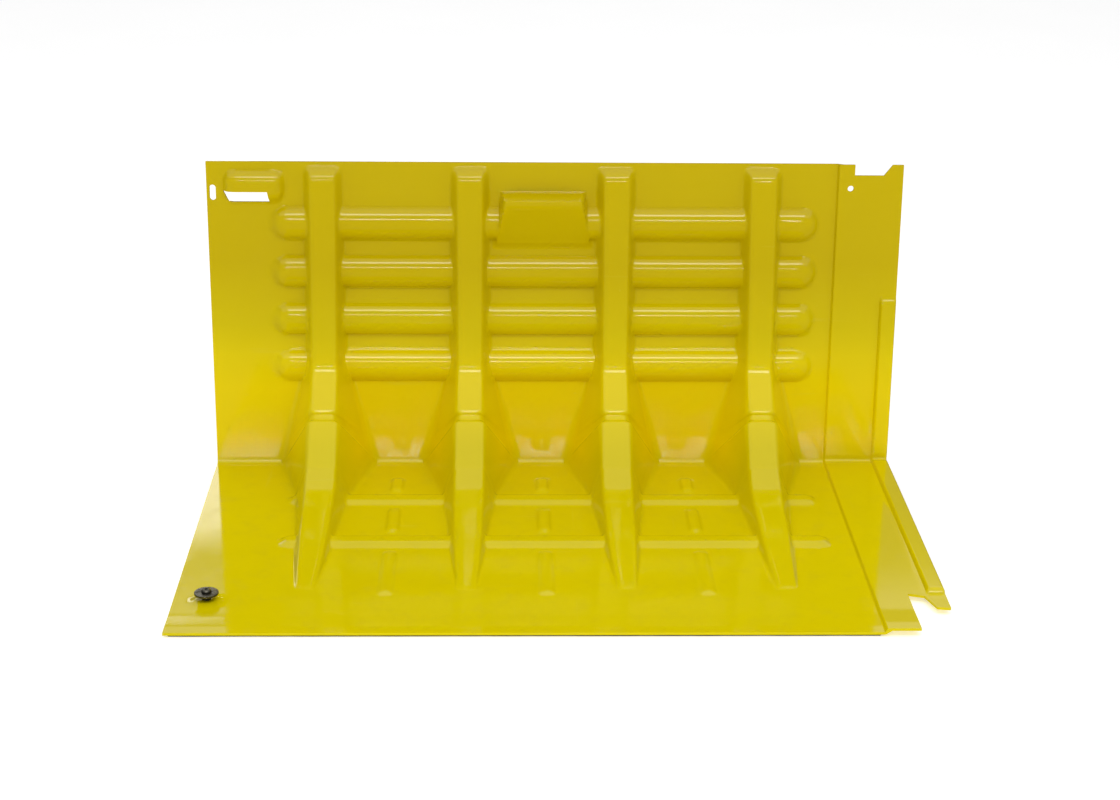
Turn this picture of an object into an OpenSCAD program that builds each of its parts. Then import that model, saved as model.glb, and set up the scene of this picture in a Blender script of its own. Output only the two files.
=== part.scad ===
// Free-standing flood barrier panel: an L-shaped wall and base formed from one plastic sheet,
// stiffened by hollow buttresses and beads, with a stud on its left edge that holds the
// overlapping right edge of the next panel.
// X runs along the barrier, the wall stands at +Y, the base reaches out to -Y and the ground is Z = 0.

/* [Panel] */
// Length of the panel along the barrier
panel_w = 1144; // [900:1:1400]
// Depth from the front edge of the base to the back of the wall at its top
panel_d = 680; // [560:1:820]
// Height of the wall above the ground
panel_h = 528; // [435:1:640]
// Thickness of the formed sheet
sheet = 4; // [3:0.1:5]
// Angle by which the wall leans back, so that panels nest
lean = 1.8; // [0.5:0.1:4]
// Radius of the hollow corner between wall and base
corner_r = 26; // [20:1:40]

/* [Front lip] */
// Rise of the front lip, which is also the thickness of the seal below it
lip_rise = 3; // [2:0.1:5]
// Width of the flat front lip
lip_w = 22; // [16:1:30]
// Length of the ramp from the base up to the lip
lip_ramp = 40; // [20:1:80]

/* [Overlap strip] */
// Width of the raised strip on the right, which laps over the next panel
strip_w = 107; // [85:1:130]
// Rise of the strip above the rest of the sheet
strip_rise = 6; // [5.5:0.1:9]

/* [Seal channel] */
// Width of the channel along the edge of the strip
channel_w = 26; // [20:1:32]
// Rise of the channel above the strip
channel_rise = 7; // [5:0.5:9]
// Height of the channel's upper end above the ground
channel_top = 302; // [240:1:380]
// Distance from the front edge to the channel's lower end
channel_front = 118; // [90:1:200]

/* [Buttresses] */
// Number of buttresses
rib_count = 4; // [3:1:5]
// Distance from the left edge to the first buttress
rib_left = 190; // [160:1:230]
// Distance from the last buttress to the right edge
rib_right = 231; // [190:1:280]
// Width of a buttress's front face
rib_face = 42; // [34:1:52]
// Width of a buttress where it meets the wall
rib_foot = 68; // [58:1:80]
// Widest width of a buttress, at the corner of wall and base
rib_flare = 156; // [110:1:170]
// Gap between the top of the wall and the top of a buttress
rib_gap = 9; // [6:1:30]
// Depth of a buttress at its top
rib_top_p = 21; // [16:1:36]
// Height above the ground where the brace starts
rib_kink_z = 192; // [150:1:240]
// Depth of a buttress where the brace starts
rib_kink_p = 54; // [42:1:70]
// Distance that the brace covers from the wall, down to the base
rib_knee = 176; // [150:1:220]
// Height above the ground of the brace's lower end
rib_knee_z = 62; // [52:1:74]
// Distance from the wall to the front end of a buttress
rib_reach = 515; // [420:1:560]
// Depth of the groove across the brace
groove_d = 4; // [2:0.5:6]

/* [Wall beads] */
// Number of beads across the wall
bead_rows = 4; // [2:1:4]
// Distance from the top of the wall to the first bead's middle
bead_drop = 102; // [90:1:130]
// Distance between beads
bead_pitch = 82; // [65:1:100]
// Width of a bead on the wall
bead_w = 55; // [44:1:64]
// Width of a bead's crown
bead_crown = 24; // [16:1:32]
// Rise of a bead from the wall
bead_p = 18; // [12:1:20]
// Reach of the beads to the left of the first buttress
bead_left = 85; // [60:1:100]
// Reach of the beads to the right of the last buttress
bead_right = 93; // [60:1:110]

/* [Base beads] */
// Distance from the wall to the middle of the rear bead
cross_rear = 172; // [150:1:200]
// Distance between the two cross beads
cross_pitch = 168; // [130:1:200]
// How much sooner a cross bead ends than a wall bead, at the left
cross_short_left = 28; // [20:1:40]
// How much sooner a cross bead ends than a wall bead, at the right
cross_short_right = 2; // [0:1:10]
// Width of a cross bead
cross_w = 50; // [40:1:60]
// Rise of a cross bead
cross_rise = 10; // [8:1:14]
// Width of the short beads that run fore and aft
tie_w = 30; // [22:1:36]
// Rise of the short beads
tie_rise = 6; // [5:0.5:8]
// Gap between a short bead and a cross bead
tie_gap = 8; // [5:1:14]
// Distance from the wall to the front end of the short beads
tie_front = 536; // [460:1:560]
// Distance from the wall to the rear end of the short beads
tie_rear = 72; // [60:1:90]

/* [Handhold] */
// Width of the handhold where it meets the wall
hold_w = 160; // [130:1:170]
// Width of the handhold's bar
hold_bar_w = 130; // [100:1:134]
// Height of the handhold on the wall
hold_h = 103; // [80:1:120]
// Thickness of the bar at its front
hold_bar_h = 16; // [12:1:24]
// Fall of the handhold's upper face from the wall to the bar
hold_fall = 6; // [4:1:9]
// Depth of the handhold
hold_p = 43; // [34:1:50]
// Distance from the top of the wall to the handhold
hold_drop = 40; // [30:1:60]

/* [Hood] */
// Width of the hood that the next panel's top edge hooks into
hood_w = 99; // [80:1:104]
// Height of the hood
hood_h = 53; // [44:1:60]
// Depth of the hood
hood_p = 17; // [14:1:22]
// Run of the hood's upper, lower and right sides
hood_slope = 8; // [6:1:9]
// Run of the hood's left side
hood_slope_left = 6; // [4:1:8]
// Distance from the left edge to the hood
hood_left = 28; // [24:1:36]
// Distance from the top of the wall to the hood
hood_drop = 14; // [10:1:24]
// Width of the hood's mouth
mouth_w = 74; // [56:1:76]
// Height of the hood's mouth
mouth_h = 19; // [14:1:22]

/* [Link holes] */
// Width of the upright slot in the left edge
slot_w = 10; // [8:0.1:11]
// Length of the slot from end to end
slot_len = 26; // [18:1:30]
// Distance from the left edge to the slot
slot_left = 10; // [9:0.5:16]
// Distance from the top of the wall to the slot's middle
slot_drop = 52; // [46:1:60]
// Diameter of the round hole in the strip
link_d = 10; // [8:0.1:12]
// Distance from the right edge to the round hole
link_right = 86; // [80:1:90]
// Distance from the top of the wall to the round hole
link_drop = 40; // [36:1:60]

/* [Notches] */
// Width of the notch in the top edge of the strip
top_notch_w = 48; // [36:1:54]
// Depth of the top notch
top_notch_d = 18; // [14:1:22]
// Run of the top notch's sloping side
top_notch_run = 14; // [8:1:16]
// Distance from the right edge to the top notch's sloping side
top_notch_right = 18; // [14:1:24]
// Distance from the right edge to the front notch's straight side
front_notch_right = 56; // [52:1:60]
// Depth of the front notch's slanted side
front_notch_run = 46; // [40:1:52]
// Room between the stud's collar and the notch of the panel that laps over it
notch_room = 4; // [2:0.5:8]

/* [Stud] */
// Distance from the left edge to the stud
stud_left = 50; // [44:1:60]
// Distance from the front edge to the stud
stud_front = 108; // [96:1:140]
// Diameter of the boss round the stud
boss_d = 50; // [46:1:60]
// Rise of the boss
boss_rise = 6; // [5.5:0.1:8]
// Diameter of the screw's thread
screw_d = 8; // [6:0.5:10]
// Lead of the screw's thread
screw_lead = 1.25; // [1:0.05:1.5]
// Diameter of the collar round the screw
collar_d = 14; // [12:0.5:20]
// Height of the collar
collar_h = 7.5; // [6:0.5:12]
// Gap between the collar and the disc as the screw stands
disc_gap = 1; // [0.5:0.1:2]
// Diameter of the clamp disc
disc_d = 36; // [30:1:42]
// Thickness of the clamp disc
disc_t = 3; // [2:0.5:4]
// Diameter of the screw's head
head_d = 15; // [14:0.5:20]
// Height of the screw's head
head_h = 4.6; // [4:0.1:6]
// Width across the flats of the screw's socket
socket_af = 5; // [4:0.5:6]
// Width across the flats of the nut
nut_af = 13; // [12:0.5:17]
// Diameter of the backing washer
washer_d = 24; // [20:1:28]
// Thickness of the backing washer
washer_t = 1.2; // [1:0.1:1.5]
// Radial running clearance of the screw in its nut
thread_fit = 0.05; // [0.02:0.01:0.09]
// Radial clearance of the screw in the sheet, the collar and the disc
screw_room = 0.4; // [0.3:0.1:0.6]

/* [Hidden] */

sheet_yellow = [0.84, 0.77, 0.03];
foam_grey = [0.16, 0.17, 0.17];
steel_grey = [0.55, 0.55, 0.52];
dark_rubber = [0.07, 0.07, 0.07];

eps = 1;                       // how far a cutting solid passes the face that it cuts
// How far each kind of form starts behind the face that it stands on. No two share a plane.
rib_sink = 1;
pad_sink = 1.6;
hold_sink = 2.2;
arc_steps = 8;                 // steps in a round corner's arc
wall_share = 0.8;              // a form's side wall, as a share of the sheet: drawing thins it
foam_room = 0.3;               // gap between the joint seal and the channel's side walls
seal_proud = 1.5;              // how far the joint seal stands out below the strip
seal_inset = 4;                // how far the front seal stops short of the ends of the lip
left_x = -panel_w / 2;
right_x = panel_w / 2;
front_y = -panel_d / 2;
step_x = right_x - strip_w;    // the step where the strip starts
top_y = panel_d / 2 - sheet / cos(lean);
corner_y = top_y - (panel_h - sheet) * tan(lean);
rib_pitch = (panel_w - rib_left - rib_right) / (rib_count - 1);
rib_xs = [for (i = [0 : rib_count - 1]) left_x + rib_left + i * rib_pitch];
bead_x0 = rib_xs[0] - bead_left;
bead_x1 = rib_xs[rib_count - 1] + bead_right;
hold_bay = floor((rib_count - 2) / 2);
hold_x = rib_xs[hold_bay] + rib_pitch / 2;
stud_x = left_x + stud_left;
stud_y = front_y + stud_front;
boss_top = sheet + boss_rise;
disc_z = boss_top + collar_h + disc_gap;
screw_down = disc_gap;         // travel until the disc sits on the collar
nut_z = 0.4;
nut_top = boss_rise - washer_t;
tip_z = nut_z + screw_down + 0.1;
tip_cut = 0.64 * screw_lead;   // height of the tip's chamfer, as deep as the thread
head_edge = 0.8;               // height of the screw head's upright edge

// Front face of the wall at a height above the ground
function wall_y(z) = corner_y + (z - sheet) * tan(lean);

// A point standing p out from the wall at a height, and one on the base at a distance from the wall
function off_wall(z, p) = [wall_y(z) - p, z];
function off_base(reach, rise) = [corner_y - reach, sheet + rise];

// Outline of the L, side on, o above the face of the base and in front of the face of the wall
function corner_arc(o) =
    let (cz = sheet + corner_r, cy = wall_y(cz) - corner_r / cos(lean), r = corner_r - o)
    [for (i = [0 : arc_steps])
        let (a = -90 + i * (90 - lean) / arc_steps)
        [cy + r * cos(a), cz + r * sin(a)]];
function face_line(o) = concat(
    [[front_y, sheet + lip_rise + o],
     [front_y + lip_w, sheet + lip_rise + o],
     [front_y + lip_w + lip_ramp, sheet + o]],
    corner_arc(o),
    [[wall_y(panel_h) - o / cos(lean), panel_h]]);
function reversed(v) = [for (i = [len(v) - 1 : -1 : 0]) v[i]];

// Slab of the L between two offsets from its face, over a stretch of the panel's length
module l_slab(low, high, x0, x1) {
    translate([x0, 0, 0])
    rotate([90, 0, 90])
    linear_extrude(x1 - x0)
    polygon(concat(face_line(low), reversed(face_line(high))));
}

// Places a shape drawn flat on the wall's front face: X along it, Y up it, Z out of it
module on_wall() {
    translate([0, corner_y, sheet])
    rotate([90 - lean, 0, 0])
    children();
}
function up_wall(z) = (z - sheet) / cos(lean);

// Solid through a row of closed sections with the same number of points each
module sweep(sections) {
    n = len(sections[0]);
    m = len(sections);
    sides = [for (s = [0 : m - 2], i = [0 : n - 1])
        let (j = (i + 1) % n, a = s * n + i, b = s * n + j)
        each [[a, b, b + n], [a, b + n, a + n]]];
    first_cap = [for (i = [n - 1 : -1 : 0]) i];
    last_cap = [for (i = [0 : n - 1]) (m - 1) * n + i];
    polyhedron(points = [for (s = sections) each s], faces = concat(sides, [first_cap], [last_cap]));
}

// Rectangle at height z with its corners cut to a radius, run clockwise as seen from above
function pill(x0, x1, y0, y1, r, z) = [
    for (c = [[x1 - r, y1 - r, 90], [x1 - r, y0 + r, 0], [x0 + r, y0 + r, -90], [x0 + r, y1 - r, 180]],
         i = [0 : 4])
    let (a = c[2] - i * 22.5)
    [c[0] + r * cos(a), c[1] + r * sin(a), z]];

// Raised pad between two rounded rectangles, from below the sheet's face up to its rise.
// t = 0 is its outer skin, and t = sheet its hollow.
module pad(x0, x1, y0, y1, draft, rise, t) {
    root = -t - pad_sink;
    side = t * wall_share;
    low = side + (t == 0 ? draft / rise * root : 0);
    high = side + draft;
    round_low = min(x1 - x0, y1 - y0) / 2 - low - 0.5;
    round_high = min(x1 - x0, y1 - y0) / 2 - high - 0.5;
    sweep([pill(x0 + low, x1 - low, y0 + low, y1 - low, round_low, root),
           pill(x0 + high, x1 - high, y0 + high, y1 - high, round_high, rise - t)]);
}

// Buttress: sections from the top of the wall, down it, across the corner and out along the base.
// Each row holds the spine's point, the foot's point, the two half widths and the skin's direction.
rib_top_z = panel_h - rib_gap;
face = rib_face / 2;
foot = rib_foot / 2;
flare = rib_flare / 2;
widen = 3;                     // how much wider the lower brace is on each side than the face above
cap_run = 11;                  // height of the slope at the top of a buttress
groove_at = [0.46, 0.50, 0.55];  // groove's upper edge, floor and lower edge, as shares of the brace
groove_foot = [120, 112, 100];   // heights at which those three rows meet the wall
brace = [rib_knee - rib_kink_p, rib_kink_z - rib_knee_z];
function on_brace(f) = off_base(rib_kink_p + f * brace[0], rib_kink_z - f * brace[1] - sheet);
function flare_at(z) = foot + (flare - foot) * (rib_kink_z - z) / (rib_kink_z - sheet);
rib_rows = [
    [off_wall(rib_top_z, 0.5), off_wall(rib_top_z, 0), face - widen, foot - widen, 0],
    [off_wall(rib_top_z - cap_run, rib_top_p), off_wall(rib_top_z - cap_run, 0), face, foot, 0],
    [off_wall(rib_kink_z, rib_kink_p), off_wall(rib_kink_z, 0), face, foot + 1, 20],
    [on_brace(groove_at[0]), off_wall(groove_foot[0], 0), face, flare_at(groove_foot[0]), 45],
    [on_brace(groove_at[1]) + [groove_d, -1], off_wall(groove_foot[1], 0),
     face - 1, flare_at(groove_foot[1]), 45],
    [on_brace(groove_at[2]) + [-1, 1], off_wall(groove_foot[2], 0),
     face + widen, flare_at(groove_foot[2]), 45],
    [on_brace(1), off_base(0, 0), face + widen, flare, 50],
    [off_base(rib_knee + 44, 38), off_base(60, 0), face + widen, flare - 12, 70],
    [off_base(rib_knee + 84, 29), off_base(140, 0), face + 2, foot + 13, 80],
    [off_base(rib_reach * 0.66, 20), off_base(rib_reach * 0.5, 0), face + 1, foot + 2, 90],
    [off_base(rib_reach * 0.82, 10), off_base(rib_reach * 0.8, 0), face - 3, foot - 7, 90],
    [off_base(rib_reach, 1), off_base(rib_reach, 0), face - 8, foot - 16, 90]];
corner_row = 6;                // the row whose foot lies in the corner

// Foot's point pushed into the sheet, or out past its back for the hollow
function sunk(p, row, by) = p + [row <= corner_row ? by : 0, row >= corner_row ? -by : 0];
function rib_section(row, t) =
    let (r = rib_rows[row],
         by = t + rib_sink,
         spine = r[0] + t * [cos(r[4]), -sin(r[4])],
         low = sunk(r[1], row, by),
         hs = r[2] - t * wall_share,
         hf = r[3] - t * wall_share)
    [[-hf, low[0], low[1]], [-hs, spine[0], spine[1]], [hs, spine[0], spine[1]], [hf, low[0], low[1]]];
module rib(t) {
    rows = t == 0 ? [0 : len(rib_rows) - 1] : [1 : len(rib_rows) - 2];
    sweep([for (i = rows) rib_section(i, t)]);
}

// Every form that stands out of the sheet: its outer skin for t = 0, its hollow for t = sheet
module forms(t) {
    for (x = rib_xs) {
        translate([x, 0, 0]) rib(t);
    }
    on_wall() {
        for (i = [0 : bead_rows - 1]) {
            mid = up_wall(panel_h - bead_drop - i * bead_pitch);
            pad(bead_x0, bead_x1, mid - bead_w / 2, mid + bead_w / 2, (bead_w - bead_crown) / 2, bead_p, t);
        }
    }
    for (i = [0 : 1]) {
        mid = corner_y - cross_rear - i * cross_pitch;
        translate([0, 0, sheet])
        pad(bead_x0 + cross_short_left, bead_x1 - cross_short_right, mid - cross_w / 2, mid + cross_w / 2,
            cross_w / 5, cross_rise, t);
    }
    for (i = [0 : rib_count - 2], stretch = tie_stretches) {
        mid = rib_xs[i] + rib_pitch / 2;
        translate([0, 0, sheet])
        pad(mid - tie_w / 2, mid + tie_w / 2, corner_y - stretch[1], corner_y - stretch[0],
            tie_w / 4, tie_rise, t);
    }
}
tie_stretches = [
    [tie_rear, cross_rear - cross_w / 2 - tie_gap],
    [cross_rear + cross_w / 2 + tie_gap, cross_rear + cross_pitch - cross_w / 2 - tie_gap],
    [cross_rear + cross_pitch + cross_w / 2 + tie_gap, tie_front]];

// Handhold: a wedge that fingers reach into from behind the wall
module handhold(t) {
    root = -t - hold_sink;
    side = t * wall_share;
    z1 = up_wall(panel_h - hold_drop);
    bar = z1 - hold_fall;
    on_wall()
    sweep([pill(hold_x - hold_w / 2 + side, hold_x + hold_w / 2 - side,
                z1 - hold_h + side, z1 - side, 5, root),
           pill(hold_x - hold_bar_w / 2 + side, hold_x + hold_bar_w / 2 - side,
                bar - hold_bar_h + side, bar - side, 3, hold_p - t)]);
}

// Hood at the top left, whose mouth opens downwards through the wall
module hood(t) {
    root = -t - hold_sink;
    side = t * wall_share;
    x0 = left_x + hood_left;
    z1 = up_wall(panel_h - hood_drop);
    on_wall()
    sweep([pill(x0 + side, x0 + hood_w - side, z1 - hood_h + side, z1 - side, 7, root),
           pill(x0 + hood_slope_left + side, x0 + hood_w - hood_slope - side,
                z1 - hood_h + hood_slope + side, z1 - hood_slope - side, 5, hood_p - t)]);
}
module hood_mouth() {
    x0 = left_x + hood_left + 1;
    z0 = up_wall(panel_h - hood_drop) - hood_h;
    on_wall()
    translate([0, 0, -sheet - eps])
    linear_extrude(sheet + hood_p + 2 * eps)
    polygon([[x0 - 2, z0 + mouth_h], [x0 + 7, z0 + 0.5],
             [x0 + mouth_w, z0 + 0.5], [x0 + mouth_w - 3, z0 + mouth_h]]);
}

// Boss round the stud, and its hollow for the washer and nut
module boss(t) {
    top = boss_d / 2 - boss_rise;
    translate([stud_x, stud_y, t == 0 ? sheet / 2 : -eps])
    cylinder(r1 = boss_d / 2 - t * wall_share, r2 = top - t * 0.5,
             h = boss_rise + (t == 0 ? sheet / 2 : eps), $fn = 64);
}

// Channel along the edge of the strip that holds the joint seal
module channel(t) {
    side = t * wall_share;
    intersection() {
        l_slab(t == 0 ? strip_rise - sheet : strip_rise - sheet - eps, strip_rise + channel_rise - t,
               right_x - channel_w + side, right_x - side);
        translate([left_x, front_y + channel_front + side, -panel_h])
        cube([panel_w, panel_d, panel_h + channel_top - side]);
    }
}

// Notches and holes through the sheet
module cut_outs() {
    over = 40;
    rise = up_wall(panel_h);
    x1 = right_x - top_notch_right;
    x0 = x1 - top_notch_run - top_notch_w;
    on_wall()
    translate([0, 0, -over])
    linear_extrude(2 * over)
    polygon([[x0, rise + over], [x0, rise - top_notch_d], [x0 + top_notch_w, rise - top_notch_d],
             [x1, rise], [x1, rise + over]]);
    on_wall()
    translate([right_x - link_right, up_wall(panel_h - link_drop), -over])
    cylinder(d = link_d, h = 2 * over, $fn = 48);
    on_wall()
    translate([left_x + slot_left, up_wall(panel_h - slot_drop), -sheet - eps])
    linear_extrude(sheet + 2 * eps)
    union() {
        square([slot_w, slot_len - slot_w], center = true);
        for (s = [-1, 1]) {
            translate([0, s * (slot_len - slot_w) / 2]) circle(d = slot_w, $fn = 48);
        }
    }
    notch_x = right_x - front_notch_right;
    notch_y = stud_y + collar_d / 2 + notch_room;
    translate([0, 0, -over])
    linear_extrude(2 * over)
    polygon([[notch_x, front_y - over], [notch_x, notch_y], [notch_x + 24, notch_y - 8],
             [notch_x + 36, notch_y - front_notch_run], [right_x - 3, notch_y - front_notch_run - 3],
             [right_x + eps, notch_y - front_notch_run + 6],
             [right_x + over, front_y - over]]);
    translate([stud_x, stud_y, -over])
    cylinder(d = screw_d + 2 * screw_room, h = 2 * over, $fn = 48);
}

module barrier_shell() {
    color(sheet_yellow)
    difference() {
        union() {
            l_slab(-sheet, 0, left_x, step_x + sheet);
            l_slab(-sheet, strip_rise, step_x, step_x + sheet);
            l_slab(strip_rise - sheet, strip_rise, step_x, right_x);
            forms(0);
            handhold(0);
            hood(0);
            boss(0);
            channel(0);
        }
        forms(sheet);
        handhold(sheet);
        hood(sheet);
        boss(sheet);
        channel(sheet);
        hood_mouth();
        cut_outs();
    }
}

// Foam strip under the front lip
module front_seal() {
    color(foam_grey)
    translate([left_x + seal_inset, front_y + 1, 0])
    cube([panel_w - strip_w - 2 * seal_inset, lip_w - seal_inset, lip_rise]);
}

// Foam strip in the channel along the strip's edge
module joint_seal() {
    side = sheet * wall_share + foam_room;
    color(foam_grey)
    intersection() {
        l_slab(strip_rise - sheet - seal_proud, strip_rise + channel_rise - sheet,
               right_x - channel_w + side, right_x - side);
        translate([left_x, front_y + channel_front + side, -panel_h])
        cube([panel_w, panel_d, panel_h + channel_top - side]);
    }
}

module spacer_collar() {
    color(dark_rubber)
    translate([stud_x, stud_y, boss_top])
    difference() {
        cylinder(d = collar_d, h = collar_h, $fn = 64);
        translate([0, 0, -eps]) cylinder(d = screw_d + 2 * screw_room, h = collar_h + 2 * eps, $fn = 48);
    }
}

module clamp_disc() {
    edge = 0.6;
    color(steel_grey)
    translate([stud_x, stud_y, disc_z])
    difference() {
        union() {
            cylinder(d1 = disc_d - 2 * edge, d2 = disc_d, h = edge, $fn = 96);
            translate([0, 0, edge]) cylinder(d = disc_d, h = disc_t - 2 * edge, $fn = 96);
            translate([0, 0, disc_t - edge])
            cylinder(d1 = disc_d, d2 = disc_d - 2 * edge, h = edge, $fn = 96);
        }
        translate([0, 0, -eps]) cylinder(d = screw_d + 2 * screw_room, h = disc_t + 2 * eps, $fn = 48);
    }
}

// Button-head screw with a hexagon socket
module clamp_screw() {
    color(steel_grey)
    translate([stud_x, stud_y, 0])
    difference() {
        union() {
            translate([0, 0, tip_z])
            cylinder(d1 = screw_d - 2 * tip_cut, d2 = screw_d, h = tip_cut, $fn = 48);
            translate([0, 0, tip_z + tip_cut])
            cylinder(d = screw_d, h = disc_z + disc_t - tip_z - tip_cut, $fn = 48);
            translate([0, 0, disc_z + disc_t])
            rotate_extrude($fn = 64)
            polygon(concat([[0, 0], [head_d / 2, 0], [head_d / 2, head_edge]],
                           [for (a = [15 : 15 : 75])
                               [head_d / 4 * (1 + cos(a)), head_edge + (head_h - head_edge) * sin(a)]],
                           [[head_d / 4, head_h], [0, head_h]]));
        }
        translate([0, 0, disc_z + disc_t + head_h * 0.4])
        cylinder(d = socket_af / cos(30), h = head_h, $fn = 6);
    }
}

module backing_washer() {
    color(steel_grey)
    translate([stud_x, stud_y, nut_top])
    difference() {
        cylinder(d = washer_d, h = washer_t, $fn = 64);
        translate([0, 0, -eps]) cylinder(d = screw_d + 2 * screw_room, h = washer_t + 2 * eps, $fn = 48);
    }
}

module lock_nut() {
    color(steel_grey)
    translate([stud_x, stud_y, nut_z])
    difference() {
        cylinder(d = nut_af / cos(30), h = nut_top - nut_z, $fn = 6);
        translate([0, 0, -eps]) cylinder(d = screw_d + 2 * thread_fit, h = nut_top + 2 * eps, $fn = 48);
    }
}

barrier_shell();
front_seal();
joint_seal();
spacer_collar();
clamp_disc();
clamp_screw();
backing_washer();
lock_nut();
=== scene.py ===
# %% [markdown]
# # A flood barrier panel, dressed for its picture
# The object is one formed sheet of yellow plastic, bent to an L. Water stands on the base and
# holds the wall up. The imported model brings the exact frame, and this script gives each piece its
# visible surface: a soft-edged formed sheet, foam seals and a zinc-plated clamp.

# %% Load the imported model
import math
import bpy
import bmesh
import numpy as np
from mathutils import Matrix, Vector


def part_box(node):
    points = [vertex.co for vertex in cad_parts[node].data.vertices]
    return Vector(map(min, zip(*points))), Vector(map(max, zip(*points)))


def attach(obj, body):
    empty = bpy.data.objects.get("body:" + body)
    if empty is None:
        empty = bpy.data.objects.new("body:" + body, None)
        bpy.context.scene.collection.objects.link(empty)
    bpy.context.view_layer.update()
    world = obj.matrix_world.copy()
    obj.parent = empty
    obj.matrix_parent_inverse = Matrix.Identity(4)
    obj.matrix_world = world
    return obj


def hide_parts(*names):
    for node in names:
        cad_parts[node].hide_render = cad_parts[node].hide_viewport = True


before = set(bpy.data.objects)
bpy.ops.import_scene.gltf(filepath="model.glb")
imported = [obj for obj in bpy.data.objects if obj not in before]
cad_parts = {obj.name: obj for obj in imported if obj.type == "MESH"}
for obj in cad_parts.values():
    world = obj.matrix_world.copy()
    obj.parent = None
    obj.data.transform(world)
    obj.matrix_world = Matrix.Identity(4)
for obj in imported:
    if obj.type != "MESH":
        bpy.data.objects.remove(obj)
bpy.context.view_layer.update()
MM = 0.001

# %% [markdown]
# ## The camera
# A real camera could be placed by eye, but its place here was worked out beforehand from the
# panel's known corners, so it is given as a position, three turns and a focal length. The three
# turns become three axes: where it looks, what is to its right and what is up.

# %% Camera
yaw, pitch, roll = map(math.radians, (1.6851, 20.2703, 0.6738))
ahead = Vector((math.sin(yaw) * math.cos(pitch), math.cos(yaw) * math.cos(pitch), -math.sin(pitch)))
level_right = Vector((math.cos(yaw), -math.sin(yaw), 0))
level_up = level_right.cross(ahead)
right = math.cos(roll) * level_right + math.sin(roll) * level_up
up = math.cos(roll) * level_up - math.sin(roll) * level_right
camera = bpy.data.objects.new("camera", bpy.data.cameras.new("camera"))
camera.data.lens = 70.557
camera.data.clip_end = 100
camera.matrix_world = Matrix.Translation((-0.0919, -3.1721, 1.4093)) @ Matrix(
    (right, up, -ahead)).transposed().to_4x4()
bpy.context.scene.collection.objects.link(camera)
bpy.context.scene.camera = camera
print("camera at", [round(c, 3) for c in camera.location])

# %% [markdown]
# ## Numbers of the formed sheet
# All lengths are in millimetres and turn into metres only when a mesh is made. Most are the sizes
# that the CAD model uses, so the soft edges land near their hard twins. By intent, the inside
# corner is tighter, the lip lies lower on its pressed foam, and the handhold starts lower. The beads
# and short beads stand out 1 mm more, and the other forms differ by a few millimetres at most.

# %% Sizes
lo, hi = (np.array(corner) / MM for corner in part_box("barrier_shell"))
sheet, lean, corner_r = 4.0, math.radians(1.8), 8.0
left_x, right_x, front_y, height = lo[0], hi[0], lo[1], hi[2]
corner_y = hi[1] - sheet / math.cos(lean) - (height - sheet) * math.tan(lean)
rib_x = np.array([-382.0, -141.0, 100.0, 341.0])
step_x = right_x - 107          # where the raised strip starts
stud = np.array([left_x + 50, front_y + 108])
lip_lift = 1.2                  # height of the front lip over the ground, on foam pressed flat
bead_half, bead_rise = 27.5, 19.0
strip_rise, channel_rise = 6, 7
print("corner of the L at y", round(corner_y, 2), "mm; sheet from", lo.round(1), "to", hi.round(1))

# %% [markdown]
# ## The L as a path
# The shape is a function of two parameters: x along the panel, and v, the distance walked along
# the L from the front edge, back over the base, round the hollow corner and up the wall. From
# every point of this path one ray leaves the sheet. Rays near the corner fan out, so that the deep
# buttresses can be described by how far the skin stands out along each ray.


# %% Path and rays
def on_path(v):
    """Points of the L at the walked distances v, as (y, z), the rays' unit directions, and their
    tilt from the surface normal.
    The base is a straight line, the corner an arc, and the wall a straight line that leans back.
    A ray is the surface normal plus a share of the tangent that falls evenly from 1 at the corner
    to 0 at the fan's length from it, so that no two rays cross inside a buttress."""
    cz = sheet + corner_r
    cy = corner_y + corner_r * math.tan(lean) - corner_r / math.cos(lean)
    turn = math.pi / 2 - lean
    flat = cy - front_y
    arc = corner_r * turn
    w = np.clip((v - flat) / arc, 0, 1)
    a = -math.pi / 2 + w * turn
    past = np.maximum(v - flat - arc, 0)
    y = np.minimum(front_y + v, cy) + corner_r * np.cos(a) + past * math.sin(lean)
    z = cz + corner_r * np.sin(a) + past * math.cos(lean)
    fan = 200.0
    base_tilt = np.clip(1 - (flat + corner_r - v) / fan, 0, 1 - corner_r / fan)
    wall_tilt = np.clip(1 - (v - flat - arc + corner_r) / fan, 0, 1 - corner_r / fan)
    from_base = np.arctan(base_tilt)
    from_wall = turn - np.arctan(wall_tilt)
    angle = np.where(v < flat, from_base, np.where(v > flat + arc, from_wall,
                     from_base * (1 - w) + from_wall * w))
    return np.stack([y, z], -1), np.stack([-np.sin(angle), np.cos(angle)], -1), abs(angle - w * turn)


base_len = corner_y + corner_r * math.tan(lean) - corner_r / math.cos(lean) - front_y
arc_len = corner_r * (math.pi / 2 - lean)
wall_len = (height - sheet - corner_r * (1 - math.sin(lean))) / math.cos(lean)
path_len = base_len + arc_len + wall_len


def v_base(reach):
    """Walked distance of a base point that lies reach in front of the corner."""
    return corner_y - reach - front_y


def v_wall(z):
    """Walked distance of a wall point at height z."""
    return path_len - (height - z) / math.cos(lean)


print("path", round(path_len, 1), "mm long, corner at", round(base_len, 1))

# %% [markdown]
# ## Soft joins
# A sheet drawn over a mould never has a sharp line: each edge gets a radius. A soft maximum of two
# heights does the same in numbers. It is the plain maximum far from the crossing, and a small
# parabola over the stretch where the two are within k of each other.


# %% Soft maximum, soft minimum and a ramp with rounded ends
def soft_max(a, b, k):
    """The larger of a and b, blended by a parabola where they differ by less than k."""
    w = np.clip(0.5 + 0.5 * (a - b) / k, 0, 1)
    return b + (a - b) * w + k * w * (1 - w)


def soft_min(a, b, k):
    """The smaller of a and b, blended by a parabola where they differ by less than k."""
    return -soft_max(-a, -b, k)


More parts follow.
